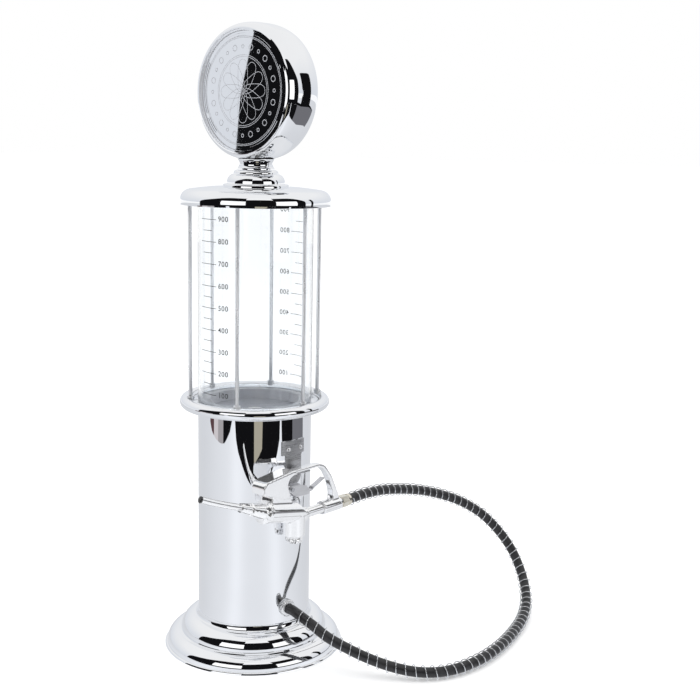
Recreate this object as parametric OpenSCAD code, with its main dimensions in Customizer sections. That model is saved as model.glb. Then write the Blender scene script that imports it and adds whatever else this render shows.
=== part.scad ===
// Drink dispenser in the shape of a small fuel pump: a round base and column, a clear
// reservoir in a cage of rods, a lift-off lid with a round head, and a nozzle gun on a hose.
// Millimetres. The origin is on the column's axis at the floor, +Z is up, the head's two
// faces look along -Y and +Y, and the gun hangs on the +X side.

/* [Base] */
// Widest diameter of the base
base_d = 144.4; // [138:0.2:156]
// Height of the base where the column stands on it
base_h = 33.5; // [31:0.5:34]
// Wall of the base shell
base_wall = 2; // [1.5:0.1:2.6]
// Height of the lower of the two rounded tiers
tier_h = 12; // [10:0.5:13]
// Thickness of the bottom plate
plate_t = 2; // [1.5:0.1:3]
// Distance of the rubber pad's edge from the heads of the plate's screws
pad_gap = 3; // [2:0.5:14]
// Thickness of the rubber pad
pad_t = 2.4; // [1.8:0.1:3]
// Distance of the plate's screws from the base's edge
screw_inset = 10.2; // [9.6:0.2:11]

/* [Column] */
// Outer diameter of the column, and of the clear tube above it
column_d = 90; // [86:0.5:94]
// Wall of the column
column_wall = 1.2; // [0.8:0.1:1.8]
// Length of the column above the base
column_h = 164; // [160:0.5:195]

/* [Reservoir] */
// Wall of the clear tube
tube_wall = 1.5; // [1:0.1:2.5]
// Length of the clear tube
tube_h = 154.7; // [120:0.1:180]
// Thickness of the flat sealing rings
gasket_t = 1; // [0.6:0.1:1.6]
// Depth of the sump below the sealing ring
sump_depth = 7; // [5:0.5:12]

/* [Cage] */
// Distance of the rods' axes from the clear tube's face
rod_gap = 7; // [6:0.1:8]
// Diameter of a rod
rod_d = 3; // [2.4:0.1:3.4]
// Thickness of the flat web of the lower ring
web_t = 2.5; // [2:0.1:4]
// Radius of the round bead of the lower ring
bead_r = 4.7; // [4.2:0.1:5.2]
// Thickness of the upper ring
top_ring_t = 4; // [3:0.2:5]
// Width across the flats of a rod nut
nut_w = 5.5; // [5:0.1:6]

/* [Lid] */
// Distance of the lid's edge from the rods' axes
lid_over = 6.5; // [6:0.1:9]
// Height of the lid, from its lip to its crown
lid_h = 14; // [13:0.1:18]
// Wall of the lid
lid_wall = 1.5; // [1:0.1:2]

/* [Head and neck] */
// Height of the neck
neck_h = 20.1; // [19.6:0.1:28]
// Diameter of the neck's waist
waist_d = 25.6; // [22:0.2:28]
// Diameter of the neck's round bead
collar_d = 44.4; // [40:0.2:48]
// Diameter of the stud in the neck
stud_d = 6; // [4:0.2:8]
// Diameter of the round head
head_d = 103; // [98:0.2:112]
// Thickness of the head over its two bezels
head_t = 34; // [30:0.5:40]
// Wall of the head's shells
head_wall = 1.8; // [1.4:0.1:2.2]
// Diameter of a dial
dial_d = 88.6; // [84:0.2:89]
// Thickness of a dial
dial_t = 1.2; // [0.8:0.1:1.6]
// Depth of a dial below its bezel
dial_depth = 2.4; // [1.6:0.1:3]

/* [Hook] */
// Direction of the hook around the column, from the front
hook_az = 87; // [84:0.5:90]
// Height of the hook's rivets above the floor
rivet_z = 170; // [166:0.5:175]
// Distance between the rivets
rivet_gap = 12; // [10:0.5:14]
// Thickness of the hook's sheet
hook_t = 1; // [0.8:0.1:1.2]
// Width of the hook's upper pad
pad_w = 23; // [20:0.5:26]
// Width of the hook's strap
strap_w = 16; // [13:0.5:17]

/* [Gun] */
// Distance of the gun's middle plane from the column's face
gun_gap = 11; // [10.5:0.1:12]
// Height of the handle pipe's axis above the floor
pipe_z = 119.5; // [116:0.1:121]
// Outer diameter of the handle pipe
pipe_d = 8; // [7:0.1:8.6]
// Diameter of the gun's barrel
barrel_d = 18; // [17:0.1:18.6]
// Slope of the barrel
barrel_tilt = 11; // [9:0.5:13]
// Outer diameter of the valve chamber
chamber_d = 17; // [16:0.1:17.6]
// Inner diameter of the valve chamber
chamber_bore = 12; // [11:0.1:12.6]
// Outer diameter of the spout tube
spout_d = 5.2; // [4.6:0.1:6]
// Inner diameter of the spout tube
spout_bore = 3.9; // [3:0.1:4.2]
// Slope of the spout
spout_tilt = 19.5; // [18:0.5:22]
// Width of the guard bow
guard_w = 6.5; // [5.5:0.1:7.5]
// Thickness of the guard bow's bar
guard_t = 2.4; // [2:0.1:3]
// Width of the trigger's channel
trigger_w = 8; // [7:0.1:9]
// Thickness of the trigger's sheet
trigger_t = 1; // [0.8:0.1:1.2]
// Diameter of the trigger's pin
pin_d = 2; // [1.6:0.1:2.4]
// Diameter of the valve stem
stem_d = 3; // [2.4:0.1:3.2]

/* [Hose] */
// Outer diameter of the hose
hose_d = 8; // [7:0.1:8.4]
// Diameter of the wire of the hose's spring guard
wire_d = 0.8; // [0.6:0.1:1]
// Pitch of the spring guard
wire_pitch = 7.6; // [6.5:0.1:10]
// Direction of the hose gland around the column, from the front
gland_az = 80; // [70:1:85]
// Height of the hose gland above the floor
gland_z = 41; // [39:0.5:44]
// Outer diameter of the gland's flange
gland_d = 13.6; // [13:0.1:15]

/* [Hidden] */
$fn = 96;
clear = 0.3;
fit = 0.05;
eps = 0.01;
screw_r = 1.2;

// Heights up the stack
lip_z = 0.4;
shelf_z = base_h + column_h;
web_z = shelf_z + web_t;
tube_z = web_z + gasket_t;
tube_top_z = tube_z + tube_h;
ring_z = tube_top_z + gasket_t;
ring_top_z = ring_z + top_ring_t;
lid_z = ring_z - 1;
lid_top_z = lid_z + lid_h;
seal_z = ring_top_z + clear;
neck_top_z = lid_top_z + neck_h;

// Radii of the stack
base_r = base_d / 2;
column_r = column_d / 2;
column_in = column_r - column_wall;
screw_circle_r = base_r - screw_inset;
screw_head_d = 6;
tube_r = column_r;
tube_in = tube_r - tube_wall;
rod_circle_r = tube_r + rod_gap;
bead_circle_r = rod_circle_r + 2.7;
bead_z = web_z + 1;
sump_r = tube_in - 6;
fill_r = tube_in - 2;
lid_r = rod_circle_r + lid_over;
lid_in = lid_r - lid_wall;
lid_seal_t = 1.4;
seal_r = fill_r + 3;

// Head
head_r = head_d / 2;
head_z = neck_top_z + head_r;
bezel_h = head_t / 2;
bezel_r = head_r - 3.5;
dial_r = dial_d / 2;
dial_h = bezel_h - dial_depth;

// Gun, as distances along Y and Z in its middle plane
gun_x = column_r + gun_gap;
nose_y = -45;
nose_z = pipe_z + 11.1;
valve_y = -12.5;
valve_z = nose_z - (valve_y - nose_y) * tan(barrel_tilt);
chamber_low_z = pipe_z - 14.8;
seat_z = pipe_z + 2;
cap_d = chamber_d - 3.5;
cap_h = 4.8;
pivot_y = -19.3;
pivot_z = pipe_z + 23.8;
floor_z = pivot_z - 7.1;
stem_top_z = floor_z - clear;
seal_t = 0.8;
plug_t = 3;
bar_z = pipe_z + 35.5;
bar_top_z = bar_z + guard_t;
leg_y = 29.2;
sleeve_y = 18;
pipe_start_y = valve_y + chamber_bore / 2 + 0.2;
pipe_end_y = 41;
sleeve_d = pipe_d + 3;
hex_w = pipe_d + 1;
hex_len = 7.5;
rim_len = 2.5;
hose_start_y = pipe_end_y + hex_len + rim_len;
nose_len = 16;
collar_len = 11;
spout_straight = 14.5;
spout_bend_r = 400;
spout_bend = 3.9;

// Hook
rivet_d = 4;
shank_d = 2.4;
pad_z = rivet_z - 4.5;
pad_h = 11;
strap_z = bar_z - 14;
strap_r = column_r + fit + hook_t;

// Hose
gland_out = 3;
gland_r = column_r + gland_out;
hose_r = hose_d / 2;
guard_r = hose_r + 1.2;
gland_dir = [sin(gland_az), -cos(gland_az), 0];

// Free hose, from the gland to the gun's fitting
HOSE_ROUTE = [
    gland_r * gland_dir + [0, 0, gland_z],
    (gland_r + 3) * gland_dir + [0, 0, gland_z], (gland_r + 6) * gland_dir + [0, 0, gland_z],
    (gland_r + 13) * gland_dir + [0, 0, gland_z - 0.9],
    [75, -11, 36], [88, -8, 29], [101, -1, 22], [115, 8, 15], [131, 18, 9.5], [147, 29, 6.5],
    [159.5, 43, 5.7], [166.5, 61, 5.7], [169, 82, 5.7], [168, 104, 5.7], [164, 127, 5.7],
    [158, 150, 5.7], [151, 172, 7], [142, 192, 10.5], [131, 208, 18], [119, 218, 30],
    [106, 222, 45.5], [94, 217, 62], [83, 205, 78], [73.5, 187, 91], [66, 165, 101],
    [61, 142, 108.5], [58, 118, 114], [56.5, 94, 118],
    [gun_x, 72, pipe_z], [gun_x, hose_start_y + 7, pipe_z], [gun_x, hose_start_y, pipe_z]];

// Hose inside the column, from the outlet's tail to the gland
outlet_z = web_z + gasket_t - sump_depth - 5;
tail_z = outlet_z - 17;
tail_r = 4;
barb_r = 3;
INNER_ROUTE = [
    [0, 0, tail_z + 9.5], [0, 0, tail_z - 0.5], [0, 0, tail_z - 16],
    [-3, 0, tail_z - 34], [-8, 0, tail_z - 54],
    [-11, 0, tail_z - 74], [-9, 0, tail_z - 93], [-2, 0, tail_z - 110],
    8 * gland_dir + [0, 0, gland_z + 8], 19 * gland_dir + [0, 0, gland_z + 1.4],
    (gland_r - 18) * gland_dir + [0, 0, gland_z], (gland_r - 9) * gland_dir + [0, 0, gland_z],
    gland_r * gland_dir + [0, 0, gland_z]];

// Points of an arc, from angle a0 to a1, in n steps
function arc(cx, cy, rx, ry, a0, a1, n = 10) =
    [for (i = [0:n]) let (a = a0 + (a1 - a0) * i / n) [cx + rx * cos(a), cy + ry * sin(a)]];

// A point between b and c on the smooth curve through a, b, c, d
function on_curve(a, b, c, d, t) =
    0.5 * (2 * b + (c - a) * t + (2 * a - 5 * b + 4 * c - d) * t * t
    + (3 * b - a - 3 * c + d) * t * t * t);

// The route as a list of points, n to each stretch
function smooth_route(route, n) = let (last = len(route) - 1)
    concat([for (i = [0:last - 1], k = [0:n - 1])
        on_curve(i == 0 ? 2 * route[0] - route[1] : route[i - 1], route[i], route[i + 1],
            i == last - 1 ? 2 * route[last] - route[last - 1] : route[i + 2], k / n)],
        [route[last]]);

function unit(v) = v / norm(v);

// Direction of the path at each point, square to the end faces
function directions(p) = let (last = len(p) - 1)
    [for (i = [0:last]) i == 0 ? unit(p[1] - p[0]) : i == last ? unit(p[last] - p[last - 1])
        : unit(p[i + 1] - p[i - 1])];

// Side vectors that turn with the path and never spin about it
function next_side(side, dir) = unit(side - (side * dir) * dir);
function sides(dirs, first) = [for (i = 0, s = next_side(first, dirs[0]); i < len(dirs);
    i = i + 1, s = i < len(dirs) ? next_side(s, dirs[i]) : s) s];

// Faces of a closed tube of m rings with n points each
function tube_faces(m, n) = concat(
    [for (i = [0:m - 2], j = [0:n - 1]) each
        [[i * n + j, (i + 1) * n + j, i * n + (j + 1) % n],
        [i * n + (j + 1) % n, (i + 1) * n + j, (i + 1) * n + (j + 1) % n]]],
    [for (j = [1:n - 2]) [0, j, j + 1]],
    [for (j = [1:n - 2]) [(m - 1) * n, (m - 1) * n + j + 1, (m - 1) * n + j]]);

module swept_tube(path, r, n, first = [0, 0, 1]) {
    dirs = directions(path);
    side = sides(dirs, first);
    points = [for (i = [0:len(path) - 1], j = [0:n - 1]) let (a = 360 * j / n)
        path[i] + r * (cos(a) * side[i] + sin(a) * cross(dirs[i], side[i]))];
    polyhedron(points, tube_faces(len(path), n), convexity = 10);
}

// Running length along a list of points
function lengths(p) = [for (i = 0, s = 0; i < len(p); s = s + (i < len(p) - 1 ?
    norm(p[i + 1] - p[i]) : 0), i = i + 1) s];

// The ring of points turned a quarter at a time about the column's axis or the rods' circle
module around(count, r, first = 0) {
    for (i = [0:count - 1]) rotate([0, 0, first + 360 * i / count]) translate([r, 0, 0]) children();
}

module ring(r_out, r_in, h) {
    difference() {
        cylinder(r = r_out, h = h);
        translate([0, 0, -1]) cylinder(r = r_in, h = h + 2);
    }
}

module hex_nut(across, bore_r, h) {
    difference() {
        cylinder(d = across / cos(30), h = h, $fn = 6);
        translate([0, 0, -1]) cylinder(r = bore_r, h = h + 2);
    }
}

// Turns a shape so that its +Z points out of the column in direction az
module facing(az, z) {
    translate([0, 0, z]) rotate([0, 0, az - 90]) rotate([0, 90, 0]) children();
}

// The base in section: a thin lip, two rounded tiers, and a hollow foot up to the column
module base_outline() {
    tier_r = base_r - 1.8;
    upper_r = base_r - 13.2;
    foot_r = column_r + 2.5;
    foot_z = base_h - 8.5;
    ledge_z = tier_h + 0.5;
    polygon(concat(
        [[0, lip_z], [base_r - 0.5, lip_z], [base_r, lip_z + 0.5], [base_r, lip_z + 1.1],
            [base_r - 0.6, lip_z + 1.5]],
        arc(upper_r + 1.6, lip_z + 1.8, tier_r - upper_r - 1.6, tier_h - lip_z - 1.8, 0, 90),
        arc(foot_r, ledge_z, upper_r - foot_r, foot_z - ledge_z, 0, 90),
        arc(foot_r, base_h, foot_r - column_r, base_h - foot_z, 270, 180, 6), [[0, base_h]]));
}

module base_shell() color("silver") {
    spigot_r = column_in - clear;
    difference() {
        union() {
            difference() {
                rotate_extrude() base_outline();
                rotate_extrude() intersection() {
                    translate([-base_wall, -base_wall]) base_outline();
                    translate([0, -3]) square([base_r, base_h + 3]);
                }
                translate([0, 0, -1]) cylinder(r = spigot_r - 2, h = base_h + 20);
                cylinder(r = base_r - 3.2, h = pad_t + plate_t);
            }
            translate([0, 0, base_h - base_wall]) ring(spigot_r, spigot_r - 2, base_wall + 3);
        }
        facing(gland_az, gland_z) cylinder(r = hose_r + 5.2, h = column_in - fit);
    }
    around(4, screw_circle_r, 45) translate([0, 0, pad_t + plate_t])
        ring(3.4, screw_r + fit, tier_h - 1.7 - pad_t - plate_t);
}

module bottom_plate() color("dimgray") {
    difference() {
        translate([0, 0, pad_t]) cylinder(r = base_r - 3.2 - clear, h = plate_t);
        around(4, screw_circle_r, 45) cylinder(r = screw_r + 0.4, h = 20);
    }
}

module base_pad() color("black") {
    r = screw_circle_r - screw_head_d / 2 - pad_gap;
    rotate_extrude() polygon([[0, 0], [r - 0.8, 0], [r, 0.8], [r, pad_t], [0, pad_t]]);
}

module plate_screws() color("gray") {
    around(4, screw_circle_r, 45) translate([0, 0, pad_t]) {
        translate([0, 0, -1.4]) difference() {
            cylinder(d = screw_head_d, h = 1.4);
            translate([-2, -0.4, -0.1]) cube([4, 0.8, 0.8]);
            translate([-0.4, -2, -0.1]) cube([0.8, 4, 0.8]);
        }
        translate([0, 0, -eps]) cylinder(r = screw_r, h = plate_t + 3.6);
    }
}

module column_tube() color("silver") {
    difference() {
        translate([0, 0, base_h]) ring(column_r, column_in, column_h);
        facing(gland_az, gland_z) cylinder(r = hose_r + 1.6, h = column_r + 5);
        at_rivets() cylinder(d = shank_d + 2 * fit, h = column_r + 5);
    }
}

module at_rivets() {
    turn = asin(rivet_gap / 2 / column_r);
    for (s = [-1, 1]) facing(hook_az + s * turn, rivet_z) children();
}

module cage_lower_ring() color("silver") {
    difference() {
        union() {
            translate([0, 0, shelf_z]) cylinder(r = bead_circle_r, h = web_t);
            translate([0, 0, shelf_z - 8]) cylinder(r = column_in - clear, h = 9);
            rotate_extrude() translate([bead_circle_r, bead_z]) circle(r = bead_r, $fn = 48);
        }
        translate([0, 0, shelf_z - 9]) cylinder(r = sump_r + clear, h = web_t + 20);
        at_rods() translate([0, 0, shelf_z + 0.6]) cylinder(r = rod_d / 2 + fit, h = 20);
        translate([0, 0, web_z]) cylinder(r = rod_circle_r - 2.6, h = 20);
    }
}

module at_rods() {
    around(6, rod_circle_r) children();
}

module lower_gasket() color("white") {
    translate([0, 0, web_z]) ring(tube_r, sump_r + clear, gasket_t);
}

module reservoir_sump() color("lightsteelblue") {
    flange_t = 1.5;
    wall = 2;
    low = tube_z - sump_depth;
    difference() {
        union() {
            translate([0, 0, tube_z]) cylinder(r = tube_in - clear, h = flange_t);
            translate([0, 0, low - wall]) cylinder(r = sump_r, h = sump_depth + wall);
            translate([0, 0, outlet_z]) cylinder(r = 9, h = tube_z - outlet_z);
        }
        translate([0, 0, low + 1]) cylinder(r = sump_r - wall, h = sump_depth + flange_t);
        translate([0, 0, low - 1]) cylinder(r1 = 7, r2 = sump_r - wall, h = 2 + eps);
        translate([0, 0, outlet_z - 1]) cylinder(r = tail_r + fit, h = 20);
    }
}

module reservoir_tube() color("aliceblue", 0.35) {
    translate([0, 0, tube_z]) ring(tube_r, tube_in, tube_h);
}

module upper_gasket() color("white") {
    translate([0, 0, tube_top_z]) ring(tube_r, fill_r, gasket_t);
}

module cage_upper_ring() color("silver") {
    difference() {
        translate([0, 0, ring_z]) ring(lid_in - clear - 0.6, fill_r, top_ring_t);
        at_rods() cylinder(r = rod_d / 2 + fit, h = ring_top_z + 5);
    }
}

module rod(i) color("silver") {
    low = shelf_z + 0.6;
    rotate([0, 0, 60 * i]) translate([rod_circle_r, 0, low])
        cylinder(d = rod_d, h = ring_top_z + 3.2 - low, $fn = 48);
}

module rod_collars() color("silver") {
    foot_z = bead_z + sqrt(bead_r * bead_r - pow(bead_circle_r - rod_circle_r, 2)) - 1;
    difference() {
        at_rods() translate([0, 0, foot_z]) ring(nut_w / 2, rod_d / 2 + fit, 3.4);
        rotate_extrude() translate([bead_circle_r, bead_z]) circle(r = bead_r + 0.1, $fn = 48);
    }
}

module rod_nuts() color("silver") {
    at_rods() translate([0, 0, ring_top_z]) hex_nut(nut_w, rod_d / 2 + fit, 2.4);
}

module outlet_tail() color("gainsboro") {
    difference() {
        union() {
            translate([0, 0, tube_z - sump_depth - 1]) cylinder(r = 6.5, h = 1);
            translate([0, 0, tail_z + 10]) cylinder(r = tail_r, h = tube_z - sump_depth - 1 - tail_z - 9.5);
            translate([0, 0, tail_z]) cylinder(r = barb_r - 0.5, h = 11);
            for (i = [0:2]) translate([0, 0, tail_z + 0.5 + 3 * i])
                cylinder(r1 = barb_r - 0.5, r2 = barb_r, h = 2);
        }
        translate([0, 0, tail_z - 1]) cylinder(r = 1.6, h = 40);
    }
}

module outlet_nut() color("gainsboro") {
    translate([0, 0, outlet_z - 2.8]) hex_nut(13, tail_r + fit, 2.8);
}

module inner_hose() color("dimgray") {
    difference() {
        swept_tube(smooth_route(INNER_ROUTE, 3), hose_r, 12, [0, 1, 0]);
        translate([0, 0, tail_z - 0.5]) cylinder(r = barb_r + fit, h = 20, $fn = 32);
    }
}

module hose_clip() color("gray") {
    translate([0, 0, tail_z + 2]) ring(hose_r + 1.2, hose_r + fit, 5);
    translate([hose_r + 0.8, -2, tail_z + 2]) cube([4, 4, 5]);
}

module gland_bush() color("silver") {
    difference() {
        facing(gland_az, gland_z) {
            translate([0, 0, column_r - 2]) cylinder(d = gland_d, h = gland_out + 1.2);
            translate([0, 0, gland_r - 0.8 - eps]) cylinder(d1 = gland_d, d2 = gland_d - 1.6, h = 0.8);
            translate([0, 0, column_r - 12]) cylinder(r = hose_r + 1.5, h = 12);
        }
        facing(gland_az, gland_z) cylinder(r = hose_r + 0.2, h = gland_r + 5);
        difference() {
            cylinder(r = column_r + fit, h = 2 * gland_z);
            facing(gland_az, gland_z) cylinder(r = hose_r + 1.5, h = column_r + 5);
        }
    }
}

module gland_nut() color("gray") {
    facing(gland_az, gland_z) translate([0, 0, column_in - 5.2])
        hex_nut(2 * hose_r + 6.5, hose_r + 1.5 + fit, 3.6);
}

// A sheet bent round the column: a wide pad, and a strap below it with a rounded end
module hook_bracket() color("gray") {
    rise = 1.6;
    under = bar_z - clear - hook_t;
    half = strap_w / 2;
    difference() {
        union() {
            intersection() {
                translate([0, 0, strap_z]) ring(strap_r, column_r + fit, pad_z + pad_h - strap_z);
                rotate([90, 0, hook_az]) linear_extrude(column_r + 10) polygon(concat(
                    [[pad_w / 2, pad_z], [pad_w / 2, pad_z + pad_h], [-pad_w / 2, pad_z + pad_h],
                        [-pad_w / 2, pad_z], [-half, pad_z]],
                    arc(0, strap_z + half, half, half, 180, 360, 16), [[half, pad_z]]));
            }
            rotate([0, 0, hook_az - 90]) translate([0, 4.5, 0]) rotate([90, 0, 0]) linear_extrude(9)
                polygon([[column_r + 0.4, under - rise], [gun_x + guard_w / 2, under],
                    [gun_x + guard_w / 2, under + hook_t], [column_r + 0.4, under + hook_t - rise]]);
        }
        at_rivets() cylinder(d = shank_d + 2 * fit, h = column_r + 5);
    }
}

module hook_rivets() color("silver") {
    at_rivets() {
        translate([0, 0, strap_r]) difference() {
            sphere(d = rivet_d, $fn = 48);
            translate([0, 0, -5]) cube(10, center = true);
        }
        translate([0, 0, column_in - 1.2]) cylinder(d = shank_d, h = hook_t + column_wall + 1.4);
        translate([0, 0, column_in - 1.4]) cylinder(d = rivet_d, h = 1.2);
    }
}

module hose() color("black") {
    swept_tube(smooth_route(HOSE_ROUTE, 2), hose_r, 12);
}

// The spring guard is one wire wound round the hose, with straight ends
HOSE_LINE = smooth_route(HOSE_ROUTE, 8);
HOSE_DIRS = directions(HOSE_LINE);
HOSE_SIDES = sides(HOSE_DIRS, [0, 0, 1]);
HOSE_RUN = lengths(HOSE_LINE);
hose_len = HOSE_RUN[len(HOSE_RUN) - 1];
wire_from = 17;
wire_to = hose_len - 2 * wire_d;
wire_steps = 8 * round((wire_to - wire_from) / wire_pitch);
guard_turn = 360 * round((wire_to - wire_from) / wire_pitch) / (wire_to - wire_from);

function beyond(s, lo, hi) = hi - lo < 2 ? lo : let (mid = floor((lo + hi) / 2))
    HOSE_RUN[mid] > s ? beyond(s, lo, mid) : beyond(s, mid, hi);
function on_guard(s, turned) = let (
    i = beyond(s, 0, len(HOSE_RUN) - 1),
    t = (s - HOSE_RUN[i]) / (HOSE_RUN[i + 1] - HOSE_RUN[i]),
    p = HOSE_LINE[i] + t * (HOSE_LINE[i + 1] - HOSE_LINE[i]),
    d = unit(HOSE_DIRS[i] + t * (HOSE_DIRS[i + 1] - HOSE_DIRS[i])),
    u = next_side(HOSE_SIDES[i] + t * (HOSE_SIDES[i + 1] - HOSE_SIDES[i]), d))
    p + guard_r * (cos(turned) * u + sin(turned) * cross(d, u));
GUARD_WIRE = concat(
    [on_guard(wire_from - 2 * wire_d, 0), on_guard(wire_from - wire_d, 0)],
    [for (k = [0:wire_steps]) let (s = wire_from + (wire_to - wire_from) * k / wire_steps)
        on_guard(s, (s - wire_from) * guard_turn)],
    [on_guard(hose_len - wire_d, 0), on_guard(hose_len - eps, 0)]);

// Least gap between neighbouring turns, from each point to the points one turn away
turn_gap = min([for (k = [0:len(GUARD_WIRE) - 13]) min([for (j = [k + 5:k + 12])
    norm(GUARD_WIRE[k] - GUARD_WIRE[j])])]) - wire_d;

module hose_spring() color("silver") {
    echo(hose_length = hose_len, spring_turns = wire_steps / 8, least_gap = turn_gap);
    swept_tube(GUARD_WIRE, wire_d / 2, 6);
}

module lid_outline(inset) {
    r = lid_r - inset;
    shoulder = lid_z + 3.4;
    top = lid_top_z - inset;
    polygon(concat(
        [[0, lid_z], [r - 2, lid_z]],
        arc(r - 1.2, lid_z + 1.3, 1.2, 1.3, -90, 0, 4),
        arc(r - 8.5, shoulder, 8.5, top - 2 - shoulder, 0, 86),
        [[r - 22, top - 0.3], [collar_d / 2 + 3.4, top], [0, top]]));
}

module lid_cover() color("silver") {
    difference() {
        rotate_extrude() lid_outline(0);
        rotate_extrude() intersection() {
            lid_outline(lid_wall);
            translate([0, lid_z - 1]) square([lid_in, lid_h + 5]);
        }
        translate([0, 0, lid_z - 1]) cylinder(r = lid_in, h = top_ring_t + 2);
        cylinder(r = stud_d / 2 + fit, h = lid_top_z + 5);
    }
    // The rib that carries the seal
    translate([0, 0, seal_z + lid_seal_t]) ring(seal_r + 1, seal_r - 1, lid_top_z - 2 - seal_z - lid_seal_t);
}

module lid_seal() color("white") {
    translate([0, 0, seal_z]) ring(seal_r + 1.6, seal_r - 1.6, lid_seal_t);
}

module neck_outline() {
    collar = collar_d / 2;
    waist = waist_d / 2;
    polygon(concat(
        [[0, lid_top_z], [collar + 3.3, lid_top_z], [collar + 3.3, lid_top_z + 1.2],
            [collar + 2.5, lid_top_z + 2], [collar - 2, lid_top_z + 2.1]],
        arc(collar - 4.2, lid_top_z + 5.5, 4.2, 3.5, -75, 75),
        [[waist + 4.2, lid_top_z + 9.6], [waist + 4.2, lid_top_z + 10.6], [waist + 1.2, lid_top_z + 11.4]],
        arc(waist + 0.3, lid_top_z + 13, 1.3, 1.3, -80, 80, 6),
        arc(waist - 0.4, neck_top_z - 3.2, 1.2, 2, -80, 80, 6),
        [[waist, neck_top_z - 0.8], [waist + 0.9, neck_top_z], [waist + 1.6, neck_top_z + 1.2],
            [waist + 2.6, neck_top_z + 4], [0, neck_top_z + 4]]));
}

// The head's outside, turned about Y, grown by the given amount
module head_solid(grow) {
    translate([0, 0, head_z]) rotate([90, 0, 0]) rotate_extrude()
        polygon(concat(head_rim(grow), [for (p = reversed(head_rim(grow))) [p[0], -p[1]]]));
}

function reversed(list) = [for (i = [len(list) - 1:-1:0]) list[i]];

// Outline of the rim, from the middle of the front face out to its widest radius
function head_rim(grow) = let (flat = bezel_h + grow, r = bezel_r + grow, fall = 10)
    concat([[0, flat], [r - 1.4, flat], [r - 0.4, flat - 0.4]],
        arc(r - 0.4, flat - fall, head_r + grow - r + 0.4, fall - 0.5, 84, 0, 8));

module neck() color("silver") {
    difference() {
        rotate_extrude() neck_outline();
        head_solid(0.1);
        cylinder(r = stud_d / 2 + fit, h = neck_top_z + 20);
    }
}

module neck_stud() color("gray") {
    translate([0, 0, lid_top_z - lid_wall - 6]) cylinder(d = stud_d, h = neck_h + lid_wall + 18);
}

module stud_nut() color("gray") {
    translate([0, 0, lid_top_z - lid_wall - 5]) hex_nut(stud_d * 1.65, stud_d / 2 + fit, 5);
}

module stud_block() color("gray") {
    difference() {
        translate([0, 0, neck_top_z]) cylinder(r = 9, h = 15);
        cylinder(r = stud_d / 2 + fit, h = neck_top_z + 13);
        difference() {
            translate([-20, -30, neck_top_z - 10]) cube([40, 60, 30]);
            head_solid(-head_wall - 0.1);
        }
    }
}

// One half of the head, with its bezel towards +Z
module head_shell() {
    rabbet = dial_r + 0.2;
    rotate_extrude() difference() {
        polygon(concat(head_rim(0), [[head_r, 0], [0, 0]]));
        polygon(concat([[0, dial_h - dial_t - 1.4], [bezel_r - 3.4, dial_h - dial_t - 1.4]],
            [for (p = head_rim(-head_wall)) if (p[1] < dial_h - dial_t - 1.4) p],
            [[head_r - head_wall, -1], [0, -1]]));
        translate([0, dial_h - dial_t]) square([rabbet, bezel_h]);
        translate([0, -1]) square([rabbet - 3, bezel_h + 2]);
        translate([rabbet, bezel_h - 1.1]) square([1.4, 5]);
    }
}

module head_half() {
    difference() {
        translate([0, 0, head_z]) rotate([90, 0, 0]) head_shell();
        cylinder(r = stud_d / 2 + clear, h = neck_top_z + 12);
    }
}

module head_front_shell() color("silver") {
    head_half();
}

module head_rear_shell() color("silver") {
    mirror([0, 1, 0]) head_half();
}

module dial() {
    translate([0, 0, head_z]) rotate([90, 0, 0]) translate([0, 0, dial_h - dial_t]) difference() {
        cylinder(r = dial_r, h = dial_t);
        translate([0, 0, dial_t - 0.25]) ring(dial_r - 1.6, dial_r - 2.1, 1);
        translate([0, 0, dial_t - 0.25]) ring(dial_r - 3.2, dial_r - 3.7, 1);
    }
}

module front_dial() color("silver") {
    dial();
}

module rear_dial() color("silver") {
    mirror([0, 1, 0]) dial();
}

// Puts a shape at the gun's nose with +Z out along a tilt
module at_nose(tilt) {
    translate([gun_x, nose_y, nose_z]) rotate([90 - tilt, 0, 0]) children();
}

// Puts a shape on the gun's pipe axis with +Z along +Y, from y
module along_pipe(y) {
    translate([gun_x, y, pipe_z]) rotate([-90, 0, 0]) children();
}

// A plate of width w across the gun, from an outline in Y and Z
module gun_plate(w, points) {
    translate([gun_x - w / 2, 0, 0]) rotate([90, 0, 90]) linear_extrude(w) polygon(points);
}

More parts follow.
